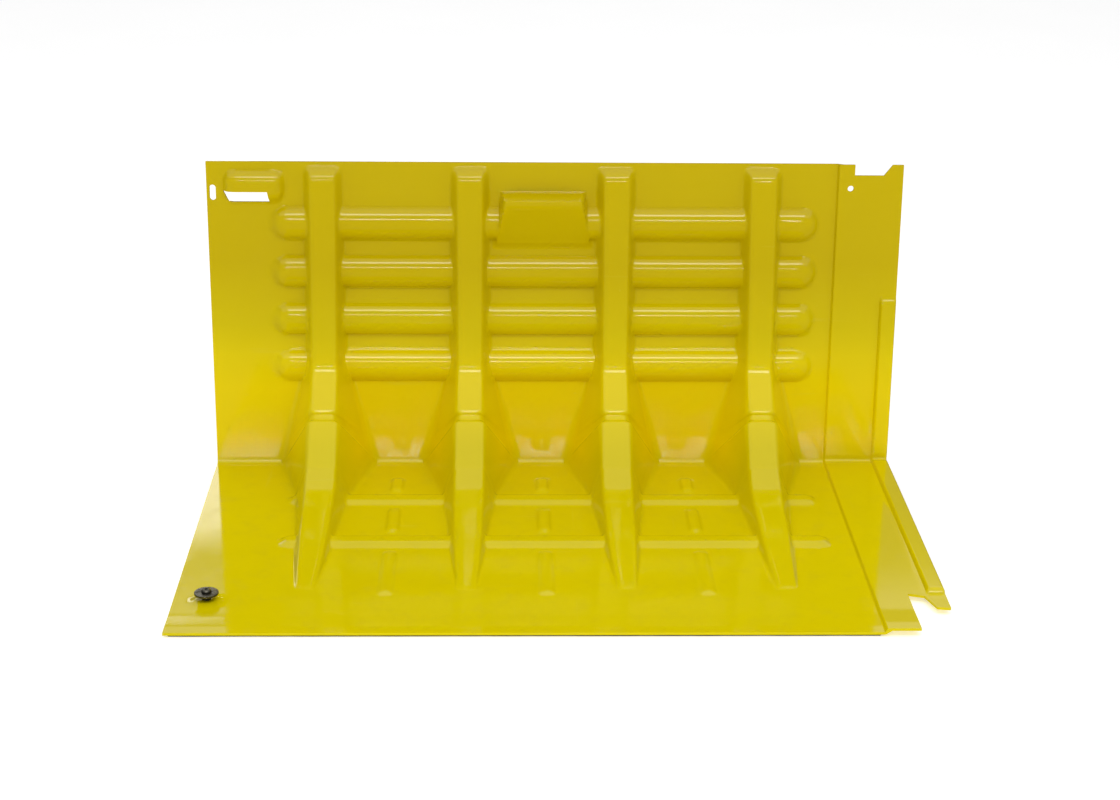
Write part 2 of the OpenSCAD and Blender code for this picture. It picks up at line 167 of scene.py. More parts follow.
def ramp(inside, run, rise, top_r, foot_r):
    """Height of a form whose edge lies inside millimetres away: a slope rise over run, flat above,
    with a radius top_r at its shoulder and foot_r at its foot."""
    slope = rise / run
    bend = slope * np.sin(np.arctan(slope)) * 0.5
    h = soft_min(slope * inside, rise + 0 * inside, np.maximum(top_r * bend, 0.05))
    return soft_max(h, 0 * h, np.maximum(foot_r * bend, 0.05))


def dome(inside, run, rise):
    """Height of a full-bodied bead, a quarter of an ellipse: rise times the root of 1 - (1 - t)^2,
    where t goes from 0 at the foot to 1 after run."""
    t = np.clip(inside / run, 0, 1)
    return rise * np.sqrt(1 - (1 - t) ** 2)


def inside_pill(x, v, x0, x1, v0, v1, r):
    """How far a point lies inside a rectangle with corners of radius r, negative outside:
    r minus the distance to the rectangle that is shrunk by r."""
    qx = abs(x - (x0 + x1) / 2) - (x1 - x0) / 2 + r
    qv = abs(v - (v0 + v1) / 2) - (v1 - v0) / 2 + r
    return r - np.hypot(np.maximum(qx, 0), np.maximum(qv, 0)) - np.minimum(np.maximum(qx, qv), 0)


# %% [markdown]
# ## The buttress
# Seen from the side, a buttress has a front line that comes down the wall, kinks into a brace,
# crosses a shallow groove and runs out flat along the base. A ray's length to that line is the
# buttress's height there. Seen along the wall it is a trapezium, so its skin is a ramp from the
# foot's half width to the front face's half width.

# %% Front line of a buttress, and its half widths
# Each row: reach from the wall, height, half width of the front face. Then the half width of the
# foot, at walked distances from the buttress's front end to its top.
rib_line = np.array([
    [0.0, 520.5, 17.5], [5.0, 520.0, 18.0], [18.5, 511.0, 20.5], [21.5, 504.0, 21.0],
    [54.0, 192.0, 20.5], [105.0, 138.0, 21.5], [107.5, 134.0, 20.0], [106.5, 131.0, 18.5],
    [112.0, 124.5, 18.5], [115.5, 124.0, 20.5], [119.5, 124.5, 24.0], [122.0, 122.0, 24.5],
    [174.0, 64.5, 24.0], [221.0, 42.0, 24.0], [260.0, 33.0, 23.0],
    [340.0, 24.0, 22.0], [422.0, 14.0, 18.0], [506.0, 8.0, 14.0], [516.0, 4.0, 12.0]])
foot_v = np.array([v_base(520), v_base(412), v_base(258), v_base(140), v_base(60),
                   base_len + arc_len / 2, v_wall(100), v_wall(120), v_wall(192), path_len])
foot_half = np.array([15.0, 26.0, 36.0, 47.0, 66.0, 78.0, 57.0, 51.5, 35.0, 32.5])


def buttress(v):
    """Height of the buttress along each ray, the half width of its face and of its foot.
    The ray from (y, z) meets each straight piece of the front line where both measure the same
    point: a two by two system solved for all rays and all pieces at once."""
    start, ray, _ = on_path(v)
    wall_y = corner_y + (rib_line[:, 1] - sheet) * math.tan(lean)
    line = np.stack([wall_y - rib_line[:, 0], rib_line[:, 1]], -1)
    seg = line[1:] - line[:-1]
    gap = line[None, :-1] - start[:, None]
    det = ray[:, None, 0] * seg[None, :, 1] - ray[:, None, 1] * seg[None, :, 0]
    reach = (gap[..., 0] * seg[None, :, 1] - gap[..., 1] * seg[None, :, 0]) / det
    share = (gap[..., 0] * ray[:, None, 1] - gap[..., 1] * ray[:, None, 0]) / det
    hit = (share >= 0) & (share <= 1) & (reach > -0.5)
    first = np.where(hit, reach, 0).argmax(1)
    rows = np.arange(len(v))
    found = hit.any(1)
    h = np.where(found, reach[rows, first], -6)
    f = np.clip(share[rows, first], 0, 1)
    face = rib_line[first, 2] * (1 - f) + rib_line[first + 1, 2] * f
    foot = np.interp(v, foot_v, foot_half)
    return h, np.where(found, face, np.where(v < base_len, 12, 17.5)), foot


# %% [markdown]
# ## A grid that follows the forms
# A square grid would cut across the buttresses' edges and show as steps. So each column of the
# grid is a curve x(v) that runs along an edge: guide curves follow the feet and faces, and the
# columns between two guides share the space evenly. Rows crowd where the profile bends.


# %% Rows
def spaced(stations, gaps, count):
    """count + 1 positions from the first station to the last. Their spacing follows gaps, which
    holds the wanted spacing at each station: positions at equal steps of the summed 1 / gap."""
    fine = np.linspace(stations[0], stations[-1], 20001)
    density = 1 / np.interp(fine, stations, gaps)
    total = np.concatenate([[0], np.cumsum((density[1:] + density[:-1]) / 2)])
    return np.interp(np.linspace(0, total[-1], count + 1), total, fine)


bead_z = height - 102 - 82.0 * np.arange(4)
stations, gaps = [0, 18, 24, 60, 66, v_base(545)], [4, 4, 4, 6, 8, 8]
for reach, gap in [(540, 3), (528, 3.5), (520, 3), (500, 5), (370, 7), (366, 2.8), (314, 2.8), (310, 4),
                   (290, 4), (280, 7), (205, 7), (198, 2.8), (146, 2.8), (140, 4), (70, 4), (40, 2.2)]:
    stations.append(v_base(reach))
    gaps.append(gap)
stations += [base_len, base_len + arc_len, v_wall(60), v_wall(66), v_wall(146)]
gaps += [1.8, 1.7, 2.0, 4, 4.5]
for z in bead_z[::-1]:
    for dz, gap in [(-32, 4), (-29, 2.2), (-11, 2.2), (-8, 6), (8, 6), (11, 2.4), (29, 2.4), (32, 5)]:
        stations.append(v_wall(z + dz))
        gaps.append(gap)
for z, gap in [(463, 3.6), (476, 3.2), (479, 1.5), (489, 1.5), (492, 3), (502, 2.6), (522, 1.8), (528, 3)]:
    stations.append(v_wall(z))
    gaps.append(gap)
order = np.argsort(stations)
v_rows = spaced(np.array(stations)[order], np.array(gaps)[order], 276)
rib_h, rib_face, rib_foot = buttress(v_rows)
rib_h, rib_face = (np.convolve(np.pad(row, 1, mode="edge"), [0.2, 0.6, 0.2], "valid")
                   for row in (rib_h, rib_face))
print(len(v_rows), "rows, buttress height up to", rib_h.max().round(1))


# %% Columns
def columns():
    """x of every column at every row, as an array rows by columns: guide curves at the feet, faces
    and edges, with straight shares between two guides."""
    ones = np.ones(len(v_rows))
    edge = 0.22 * (rib_foot - rib_face)
    guides, cells = [left_x * ones], []

    def bay(stop, marks):
        """Guides across a bay that ends at the curve stop. A mark (x, cells) is a guide's x high
        on the wall, and the cells that lead up to it."""
        start = guides[-1]
        a, b = start[-1], stop[-1]
        for mark, n in marks:
            guides.append(start + (stop - start) * (mark - a) / (b - a))
            cells.append(n)

    for i, x in enumerate(rib_x):
        stop = x - rib_foot - edge
        middle = x - 120.5
        if i == 0:
            bay(stop, [(-545, 5), (-536, 4), (-456, 11), (-443, 4), (stop[-1], 4)])
        elif i == 2:
            bay(stop, [(-99, 1), (-82, 6), (middle - 17, 6), (middle - 7, 4), (middle + 7, 2),
                       (middle + 17, 4), (42, 6), (58, 6), (stop[-1], 1)])
        else:
            bay(stop, [(middle - 17, 13), (middle - 7, 4), (middle + 7, 2), (middle + 17, 4),
                       (stop[-1], 13)])
        for side, n in [(-rib_foot + edge, 3), (-rib_face - edge, 3), (-rib_face + edge, 4),
                        (rib_face - edge, 5), (rib_face + edge, 4), (rib_foot - edge, 3),
                        (rib_foot + edge, 3)]:
            guides.append(x + side)
            cells.append(n)
    bay((step_x - 2.5) * ones, [(428, 8), (440, 3), (step_x - 2.5, 4)])
    for x, n in [(step_x + 2.5, 6), (right_x - 29, 12), (right_x - 22, 5), (right_x - 7, 3),
                 (right_x, 5)]:
        guides.append(x * ones)
        cells.append(n)
    out = [guides[0][:, None]]
    for a, b, n in zip(guides[:-1], guides[1:], cells):
        out.append(a[:, None] + (b - a)[:, None] * np.arange(1, n + 1) / n)
    return np.concatenate(out, 1)


X = columns()
V = np.broadcast_to(v_rows[:, None], X.shape)
print(X.shape, "grid, narrowest column", np.diff(X, axis=1).min().round(3), "mm")

# %% [markdown]
# ## All the forms as one height
# Every form adds its own height, and soft maxima join them as the hot sheet would: beads across
# wall and base, short beads fore and aft, buttresses, the handhold, the hood over the hook-in
# mouth, the boss round the clamp, the raised strip and the channel for the joint seal.


# %% Height of the skin
# Reach from the wall of the cross beads' middles, and of both ends of the short beads.
cross_reach = (172, 340)
tie_reach = [(72, 139), (205, 307), (373, 536)]


def skin_height(x, v):
    """Height of the formed skin along each ray: the soft maximum of all forms, plus the slow steps
    of the front lip and of the overlap strip."""
    h = 0 * x
    for z in bead_z:
        mid = v_wall(z)
        inside = inside_pill(x, v, rib_x[0] - 86, rib_x[-1] + 94, mid - bead_half, mid + bead_half,
                             bead_half)
        h = soft_max(h, dome(inside, bead_half - 1.5, bead_rise), 2.0)
    slant = 1 / np.cos(on_path(v)[2])
    for reach in cross_reach:
        inside = inside_pill(x, v, -439, 432, v_base(reach + 25), v_base(reach - 25), 20)
        h = soft_max(h, ramp(inside, 14.0, 10.0, 7.0, 6.0) * slant, 2.0)
    for x_mid in (rib_x[:-1] + rib_x[1:]) / 2:
        for near, far in tie_reach:
            inside = inside_pill(x, v, x_mid - 15, x_mid + 15, v_base(far), v_base(near), 13)
            h = soft_max(h, ramp(inside, 8.5, 7.0, 5.0, 5.0) * slant, 1.5)
    rise, foot, face = (np.interp(v, v_rows, row) for row in (rib_h, rib_foot, rib_face))
    for x_mid in rib_x:
        inside, run = foot - abs(x - x_mid), foot - face
        h = soft_max(h, np.where(rise > 0.3, ramp(inside, run, np.maximum(rise, 0.3), 7.0, 7.0), 0), 4.0)
    h = soft_max(h, handhold(x, v), 3.0)
    h = soft_max(h, hood(x, v), 2.5)
    from_stud = np.hypot(x - stud[0], v - (stud[1] - front_y))
    h = soft_max(h, ramp(25 - from_stud, 6.0, 6.0, 3.0, 4.0), 1.0)
    lip = lip_lift * np.clip((62 - v) / 40, 0, 1)
    strip = strip_rise * smooth((x - step_x + 1.6) / 3.2)
    return h + (lip + strip + channel(x, v)) * slant


def smooth(t):
    """A ramp from 0 to 1 with level ends: 3 t squared minus 2 t cubed."""
    t = np.clip(t, 0, 1)
    return t * t * (3 - 2 * t)


def handhold(x, v):
    """Wedge that hands reach into from behind: the lowest of a bar's flat front, a long slope
    below, a steep face above and two sides that spread downwards."""
    x_mid = (rib_x[1] + rib_x[2]) / 2
    top, low, bar = v_wall(height - 49), v_wall(height - 143), 43.5
    half = 69 + 11 * (top - v) / (top - low)
    side = ramp(half - abs(x - x_mid), 6.0, 45.0, 5.0, 4.0)
    above = (top - v) * 44 / 5
    below = soft_min(5 + (v - low) * 0.48, (v - low) * 1.6, 2.0)
    h = soft_min(soft_min(above, bar + 0 * v, 24.0), below, 3.0)
    return soft_max(soft_min(h, side, 4.0), 0 * h, 4.0)


def hood(x, v):
    """Rounded pill over the hook-in mouth."""
    inside = inside_pill(x, v, left_x + 28, left_x + 127, v_wall(height - 67), v_wall(height - 14), 18)
    return dome(inside, 18.0, 17.0)


def channel(x, v):
    """Raised channel along the strip's edge, which falls away at the panel's edge."""
    across = np.minimum(smooth((x - right_x + 28) / 4), smooth((right_x + 2.5 - x) / 5))
    along = np.minimum(smooth((v - 118) / 6), smooth((v_wall(302) - v) / 6))
    return channel_rise * across * along


H = skin_height(X, V)
print("skin stands out up to", H.max().round(1), "mm")

# %% [markdown]
# ## From heights to a sheet of real thickness
# The front skin is the path's point plus height times ray. The back could be the front moved along
# its normals, but on tight edges such a copy folds through itself. A ball rolled along under the
# skin never does: the back is the lowest that a ball of the sheet's thickness lets it be. It uses
# every second row and column, and a rim joins the two, so that the mesh is closed and can be cut.


# %% Front, back and rim
def place(x, v, h):
    """Points in space: the path's point plus height times ray."""
    start, ray, _ = on_path(v)
    return np.stack([x, start[..., 0] + h * ray[..., 0], start[..., 1] + h * ray[..., 1]], -1)


def looped(ids):
    """A grid of vertex numbers whose first column also closes it on the right."""
    return np.concatenate([ids, ids[:, :1]], 1)


def grid_faces(ids):
    """Quads of a grid of vertex numbers: each cell's four corners in turn."""
    return np.stack([ids[:-1, :-1], ids[:-1, 1:], ids[1:, 1:], ids[1:, :-1]], -1).reshape(-1, 4)


def new_mesh(name, points, faces, smooth_faces=True):
    """A mesh object at the origin from points in millimetres and faces of any size."""
    mesh = bpy.data.meshes.new(name)
    mesh.from_pydata((np.asarray(points) * MM).tolist(), [], [list(map(int, f)) for f in faces])
    mesh.validate()
    mesh.shade_smooth() if smooth_faces else mesh.shade_flat()
    obj = bpy.data.objects.new(name, mesh)
    bpy.context.scene.collection.objects.link(obj)
    return obj


def outward(obj):
    """Turns every face of a closed mesh outwards."""
    bm = bmesh.new()
    bm.from_mesh(obj.data)
    bmesh.ops.recalc_face_normals(bm, faces=bm.faces)
    bm.to_mesh(obj.data)
    bm.free()


def under_skin(x, v):
    """Height of the sheet's back: over all small steps (dx, dv) within the thickness t, the lowest
    of the skin's height there less the root of t squared minus the step squared."""
    low = skin_height(x, v) - sheet
    for r in (0.35, 0.7, 0.97):
        drop = sheet * math.sqrt(1 - r * r)
        for a in np.arange(12) * math.pi / 6:
            step = skin_height(x + sheet * r * math.cos(a), v + sheet * r * math.sin(a)) - drop
            low = np.minimum(low, step)
    return low


front = place(X, V, H)
back = place(X[::2, ::2], V[::2, ::2], under_skin(X[::2, ::2], V[::2, ::2]))
front_ids = np.arange(X.size).reshape(X.shape)
back_ids = X.size + np.arange(back[..., 0].size).reshape(back.shape[:2])


def rim(fine, coarse):
    """Faces that join a fine border to a coarse one with half as many cells: five corners each."""
    return np.stack([fine[:-2:2], fine[1:-1:2], fine[2::2], coarse[1:], coarse[:-1]], -1)


sides = [rim(front_ids[0][::-1], back_ids[0][::-1]), rim(front_ids[:, 0], back_ids[:, 0]),
         rim(front_ids[-1], back_ids[-1]), rim(front_ids[::-1, -1], back_ids[::-1, -1])]
faces = [*grid_faces(front_ids), *grid_faces(back_ids)[:, ::-1]]
for side in sides:
    faces += list(side)
shell = new_mesh("formed_sheet", np.concatenate([front.reshape(-1, 3), back.reshape(-1, 3)]), faces)
print("front faces", (X.shape[0] - 1) * (X.shape[1] - 1), "total", len(shell.data.polygons))

# %% [markdown]
# ## Trimming
# After forming, the real sheet goes to a router that cuts the notches, the upright slot, the round
# hole, the clamp's hole and the hood's mouth. Here one Boolean modifier does it with a set of
# upright prisms, and is applied at once.


# %% Cutters
def on_wall(x, y, z):
    """A point drawn flat on the wall: x along it, y up it from the corner, z out of it."""
    return [x, corner_y + y * math.sin(lean) - z * math.cos(lean),
            sheet + y * math.cos(lean) + z * math.sin(lean)]


def prism(outline, at, low, high):
    """Points and faces of a prism: the outline at two depths, two caps and a ring of quads."""
    n = len(outline)
    points = [at(x, y, d) for d in (low, high) for x, y in outline]
    ring = [[i, (i + 1) % n, (i + 1) % n + n, i + n] for i in range(n)]
    return points, [list(range(n))[::-1], list(range(n, 2 * n)), *ring]


def circle(x, y, r, n=48):
    """Outline of a circle, anticlockwise."""
    a = np.arange(n) * 2 * math.pi / n
    return np.stack([x + r * np.cos(a), y + r * np.sin(a)], -1).tolist()


def up_wall(z):
    """Distance up the wall from the corner to a height z."""
    return (z - sheet) / math.cos(lean)


def flat(x, y, z):
    """A point drawn flat on the ground plan."""
    return [x, y, z]


top = up_wall(height)
notch_right = right_x - 18
slot_x, slot_y = left_x + 10, up_wall(height - 52)
half = circle(0, 0, 5, 32)
slot = [[slot_x + x, slot_y + y + (8 if y > 1e-6 or (abs(y) < 1e-6 and x > 0) else -8)] for x, y in half]
mouth_x, mouth_y = left_x + 29, up_wall(height - 67)
corner_x, notch_y = right_x - 56, stud[1] + 11
cuts = [
    prism([[notch_right - 62, top + 30], [notch_right - 62, top - 18], [notch_right - 14, top - 18],
           [notch_right, top], [notch_right, top + 30]], on_wall, -40, 40),
    prism(circle(right_x - 86, up_wall(height - 40), 5), on_wall, -40, 40),
    prism(slot, on_wall, -12, 12),
    prism([[mouth_x - 2, mouth_y + 19], [mouth_x + 7, mouth_y + 0.5], [mouth_x + 74, mouth_y + 0.5],
           [mouth_x + 71, mouth_y + 19]], on_wall, -12, 24),
    prism([[corner_x, front_y - 30], [right_x + 30, front_y - 30], [right_x + 30, notch_y - 40],
           [right_x - 3, notch_y - 49], [corner_x + 36, notch_y - 46], [corner_x + 24, notch_y - 8],
           [corner_x, notch_y]], flat, -30, 40),
    prism(circle(stud[0], stud[1], 4.4), flat, -30, 40)]
points, faces = [], []
for p, f in cuts:
    faces += [[i + len(points) for i in face] for face in f]
    points += p
cutter = new_mesh("cutters", points, faces)
bm = bmesh.new()
bm.from_mesh(cutter.data)
bmesh.ops.recalc_face_normals(bm, faces=bm.faces)
bm.to_mesh(cutter.data)
bm.free()


# %% Cut, and mark the crisp edges
def applied(obj):
    """Puts the result of the object's modifiers into its mesh."""
    graph = bpy.context.evaluated_depsgraph_get()
    mesh = bpy.data.meshes.new_from_object(obj.evaluated_get(graph))
    obj.modifiers.clear()
    obj.data = mesh


def crisp(obj, degrees):
    """Edges that turn by more than an angle stay sharp, and all the others are shaded smooth."""
    bm = bmesh.new()
    bm.from_mesh(obj.data)
    for edge in bm.edges:
        edge.smooth = len(edge.link_faces) == 2 and edge.calc_face_angle(0) < math.radians(degrees)
    for face in bm.faces:
        face.smooth = True
    bm.to_mesh(obj.data)
    bm.free()


cut = shell.modifiers.new("cut", "BOOLEAN")
cut.operation, cut.solver, cut.object = "DIFFERENCE", "MANIFOLD", cutter
applied(shell)
bpy.data.objects.remove(cutter)
crisp(shell, 48)
print("sheet has", sum(len(p.vertices) - 2 for p in shell.data.polygons), "triangles")

# %% [markdown]
# ## Shader maths as sums
# A small class holds one output of a node. Adding or multiplying two of them adds a Math node, so
# a pattern reads as a formula. One method makes every other node.


# %% A socket that can be added and multiplied
class Wire:
    """One output socket in a material's node tree."""

    def __init__(self, tree, socket):
        self.tree, self.socket = tree, socket

    def node(self, kind, settings=None, inputs=None, out=0):
        """A node of that kind: its settings first, then the values or links of its sockets."""
        n = self.tree.nodes.new(kind)
        for key, value in (settings or {}).items():
            if key == "stops":
                ramp_ = n.color_ramp
                while len(ramp_.elements) < len(value):
                    ramp_.elements.new(0.5)
                for element, (at, colour) in zip(ramp_.elements, value):
                    element.position, element.color = at, colour
            else:
                setattr(n, key, value)
        for key, value in (inputs or {}).items():
            if isinstance(value, Wire):
                self.tree.links.new(value.socket, n.inputs[key])
            else:
                n.inputs[key].default_value = value
        return Wire(self.tree, n.outputs[out])

    def math(self, operation, a, b=0.0):
        return self.node("ShaderNodeMath", {"operation": operation}, {0: a, 1: b})

    def __add__(self, other):
        return self.math("ADD", self, other)

    def __sub__(self, other):
        return self.math("SUBTRACT", self, other)

    def __rsub__(self, other):
        return self.math("SUBTRACT", other, self)

    def __mul__(self, other):
        return self.math("MULTIPLY", self, other)

    __radd__, __rmul__ = __add__, __mul__

    def clamp(self, low, high, to_low=0.0, to_high=1.0):
        """This value mapped from low..high to to_low..to_high, and held there outside."""
        return self.node("ShaderNodeMapRange", {"clamp": True},
                         {"Value": self, "From Min": low, "From Max": high,
                          "To Min": to_low, "To Max": to_high})

    def mix(self, a, b):
        """Colour a where this value is 0, b where it is 1."""
        return self.node("ShaderNodeMix", {"data_type": "RGBA"}, {0: self, 6: a, 7: b}, 2)

    def noise(self, scale, detail=2.0, roughness=0.5, stretch=(1, 1, 1)):
        """Noise on the object's own coordinates, scale waves to the metre, stretched along an axis
        by a share under 1."""
        place_ = self.node("ShaderNodeMapping", {}, {"Vector": self, "Scale": stretch})
        return self.node("ShaderNodeTexNoise", {}, {"Vector": place_, "Scale": scale, "Detail": detail,
                                                    "Roughness": roughness})


def material(name, constants):
    """A new material, its shader with constant values set, and the wire of object coordinates."""
    mat = bpy.data.materials.new(name)
    mat.use_nodes = True
    tree = mat.node_tree
    shader = tree.nodes["Principled BSDF"]
    for key, value in constants.items():
        shader.inputs[key].default_value = value
    coords = tree.nodes.new("ShaderNodeTexCoord")
    return mat, shader, Wire(tree, coords.outputs["Object"])


def feed(shader, wires):
    """Links each wire to the shader's socket of that name."""
    for key, wire in wires.items():
        wire.tree.links.new(wire.socket, shader.inputs[key])


# %% [markdown]
# ## Yellow ABS
# The sheet is extruded ABS with a glossy face. Forming stretches it, which leaves an orange-peel
# grain, finer on the flats. Handling leaves hairline scratches and a little grime near the ground,
# and the colour wanders at random where the hot sheet was drawn thin. Light is painted in as well:
# a painted bounce light makes the lower wall between the buttresses' feet lighter and warmer, and a
# painted shade darkens the wall high up.
# Noise at several scales gives colour, gloss and grain their small changes.

# %% Yellow plastic
yellow, shader, at = material("yellow_abs", {"IOR": 1.52, "Specular IOR Level": 0.4, "Coat Weight": 0.02,
                                            "Coat Roughness": 0.05})
drawn = at.noise(2.3, 2.0, 0.5).clamp(0.35, 0.65)
mottle = at.noise(24, 3.0, 0.55).clamp(0.3, 0.7)
peel = at.noise(300, 1.0, 0.4)
pits = at.noise(1300, 1.0, 0.5)
along = at.noise(60, 3.0, 0.6, (0.06, 1, 1)).clamp(0.68, 0.74)
across = at.noise(64, 3.0, 0.6, (1, 0.05, 1)).clamp(0.69, 0.75)
hairs = along + across
depth, level = (at.node("ShaderNodeSeparateXYZ", {}, {0: at}, axis) for axis in (1, 2))
# painted shade: a mask that rises with height up the wall, from 0.20 m to 0.36 m, so that the wall is
# darker high up
high = level.clamp(0.20, 0.36)
# painted bounce light: a mask on the lower wall, set back between the buttresses, that makes the recess
# lighter and warmer
painted_recess_light = level.clamp(0.25, 0.14) * level.clamp(0.01, 0.05) * depth.clamp(0.17, 0.26)
grime = level.clamp(0.02, 0.0) * at.noise(30, 4.0, 0.65).clamp(0.5, 0.75)
body = drawn.mix((0.715, 0.585, 0.0, 1), (0.755, 0.620, 0.0, 1))
body = (mottle * 0.25).mix(body, (0.775, 0.645, 0.0, 1))
# the painted bounce light lightens the recess, and below it the painted shade darkens the upper wall
body = (painted_recess_light * 0.9).mix(body, (0.900, 0.700, 0.0, 1))
body = (high * 0.8).mix(body, (0.560, 0.415, 0.0, 1))
body = (hairs.clamp(0, 1) * 0.12).mix(body, (0.76, 0.68, 0.08, 1))
body = (grime * 0.15).mix(body, (0.42, 0.34, 0.04, 1))
gloss = 0.05 + mottle * 0.03 + hairs * 0.06 + grime * 0.15
bump = at.node("ShaderNodeBump", {}, {"Strength": 0.5, "Distance": 0.00005,
                                      "Height": peel + pits * 0.25 - hairs * 0.06})
feed(shader, {"Base Color": body, "Roughness": gloss, "Normal": bump})
shell.data.materials.clear()
shell.data.materials.append(yellow)
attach(shell, "panel")
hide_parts("barrier_shell")

# %% [markdown]
# ## Foam seals
# Closed-cell foam is sold as a strip with a sticky back. One strip lies under the front lip, pressed
# flat by the panel's weight. The other fills the channel and seals against the next panel. Knife-cut
# foam has soft edges that wander a little, so each strip is a row of rounded cross-sections whose
# sides move by a sum of slow sines.


# %% Foam strips
def sausage(name, rows):
    """A closed solid through rows of cross-sections: quads between the rows, a flat end on each."""
    rows = np.asarray(rows)
    n, m = rows.shape[:2]
    ids = looped(np.arange(n * m).reshape(n, m))
    ends = [ids[0, :-1], ids[-1, -2::-1]]
    obj = new_mesh(name, rows.reshape(-1, 3), [*grid_faces(ids), *ends])
    outward(obj)
    return obj


def loaf(across, turn):
    """Rounded box of half-width across and half-height 1 at each turn: (a, b) with
    a = across - 1 + |cos|^0.4 on the right, mirrored on the left, and b = sign(sin) |sin|^0.4."""
    c, s = np.cos(turn), np.sin(turn)
    return np.sign(c) * (across - 1 + np.abs(c) ** 0.4), np.sign(s) * np.abs(s) ** 0.4


def wander(s, seed):
    """Sum of three slow sines of s, each with its own start, between -1 and 1."""
    return (np.sin(s / 9 + seed) + np.sin(s / 23 + 2 * seed) + np.sin(s / 61 + 3 * seed)) / 3


def tucked(s, ends, run):
    """1 along the strip, and the root of 1 - (1 - d/run)^2 within run of its ends."""
    d = np.clip(np.minimum(s - ends[0], ends[1] - s) / run, 0.02, 1)
    return np.sqrt(1 - (1 - d) ** 2)


turn = np.linspace(0, 2 * np.pi, 41)[:-1] + 0.02
half_width = 9
half = (lip_lift - 0.1) / 2
s = np.linspace(left_x + 4, step_x - 4, 321)[:, None]
a, b = loaf(half_width / half, turn)
size = tucked(s, (s[0], s[-1]), 2)
y = front_y + 13.5 + (a * half + 0.35 * wander(s, 1) * (a < 0)) * size
front_foam = sausage("front_foam", np.stack([s + 0 * a, y, half + b * half * size], -1))

reach = np.linspace(corner_y - front_y - 121.5, 0, 110)
rise = np.linspace(0, 294, 120)[1:]
v = np.concatenate([[v_base(r) for r in reach], [v_wall(z + sheet) for z in rise]])[:, None]
middle = right_x - 13
size = tucked(v, (v[0], v[-1]), 3)
half_width, corner = 9.3, 4.0
a, b = loaf(half_width / corner, turn)
x = middle + a * corner * size + 0.25 * wander(v, 4)
floor_, roof = 0.5, np.minimum(9, under_skin(np.full_like(v, middle), v) - 0.3)
h = floor_ + (roof - floor_) * (0.5 + 0.5 * b * size)
joint_foam = sausage("joint_foam", place(x, v + 0 * x, h))
for obj, node in ((front_foam, "front_seal"), (joint_foam, "joint_seal")):
    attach(obj, "panel")
    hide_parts(node)
    crisp(obj, 50)
print("foam", [o.dimensions[:] for o in (front_foam, joint_foam)])

# %% [markdown]
# ## Closed-cell foam
# A cut face of foam shows its cells. Cells of about half a millimetre come from Voronoi noise, with
# some larger ones among them. Their walls catch light and their hollows stay dark, and dust greys
# the strip in patches.

# %% Foam material
foam, shader, at = material("closed_cell_foam", {"IOR": 1.45, "Specular IOR Level": 0.25})
cells = at.node("ShaderNodeTexVoronoi", {}, {"Vector": at, "Scale": 1700.0})
large = at.node("ShaderNodeTexVoronoi", {}, {"Vector": at, "Scale": 620.0})
pores = cells.clamp(0.1, 0.55) * 0.7 + large.clamp(0.05, 0.35) * 0.3
dust = at.noise(35, 4.0, 0.6).clamp(0.45, 0.7)
tone = pores.mix((0.012, 0.012, 0.013, 1), (0.050, 0.052, 0.054, 1))
tone = (dust * 0.35).mix(tone, (0.12, 0.12, 0.11, 1))
bump = at.node("ShaderNodeBump", {}, {"Strength": 0.7, "Distance": 0.0002, "Height": pores})
feed(shader, {"Base Color": tone, "Roughness": 0.75 + dust * 0.15, "Normal": bump})
for obj in (front_foam, joint_foam):
    obj.data.materials.append(foam)
print("foam material has", len(foam.node_tree.nodes), "nodes")

# %% [markdown]
# ## The clamp
# Collar, disc, washer and nut are round or hexagonal, so each is a profile turned about the stud.
# A real disc is blanked from sheet, which rounds the edge where the punch enters. A collar is cut
# from extruded rubber and bulges a little where it is squeezed. The nut's corners are cut by a
# cone at both faces, and the screw's thread is a groove that climbs one pitch in each turn.


# %% Collar, disc, washer, nut and screw
bore = 4.4                      # radius of the holes round the M8 screw
disc_thick = 3
thread_pitch, thread_deep = 1.25, 0.62


def rounded(corners, radius, steps=5):
    """Closed profile through corners (r, z): each is rounded by the curve
    (1-t)^2 P + 2t(1-t) C + t^2 N, with P and N at the radius from corner C along its two sides."""
    corners = np.asarray(corners, float)
    t = np.linspace(0, 1, steps)[:, None]
    points = []
    for before, c, after in zip(np.roll(corners, 1, 0), corners, np.roll(corners, -1, 0)):
        p = c + radius * (before - c) / np.linalg.norm(before - c)
        n = c + radius * (after - c) / np.linalg.norm(after - c)
        points.append((1 - t) ** 2 * p + 2 * t * (1 - t) * c + t ** 2 * n)
    return np.concatenate(points)


def fine(profile, step):
    """The same closed profile with points a step apart along it."""
    loop = np.concatenate([profile, profile[:1]])
    walked = np.concatenate([[0], np.cumsum(np.linalg.norm(np.diff(loop, axis=0), axis=1))])
    marks = np.arange(0, walked[-1] - step / 2, step)
    return np.column_stack([np.interp(marks, walked, loop[:, k]) for k in (0, 1)])


def turned(name, r, z, closed=True, around=96):
    """Surface of revolution about the stud: (r cos a, r sin a, z). r and z are functions on the grid
    of profile steps by angles, or profiles alone. An open profile starts and ends on the axis."""
    angle = np.arange(around) * 2 * np.pi / around
    r, z = (np.broadcast_to(g if np.ndim(g) == 2 else np.asarray(g)[:, None], (len(g), around))
            for g in (r, z))
    points = np.stack([stud[0] + r * np.cos(angle), stud[1] + r * np.sin(angle), z], -1)
    ids = looped(np.arange(r.size).reshape(r.shape))
    if closed:
        ids = np.concatenate([ids, ids[:1]], 0)
    ends = [] if closed else [ids[0, :-1], ids[-1, -2::-1]]
    obj = new_mesh(name, points.reshape(-1, 3), [*grid_faces(ids), *ends])
    outward(obj)
    crisp(obj, 35)
    return obj


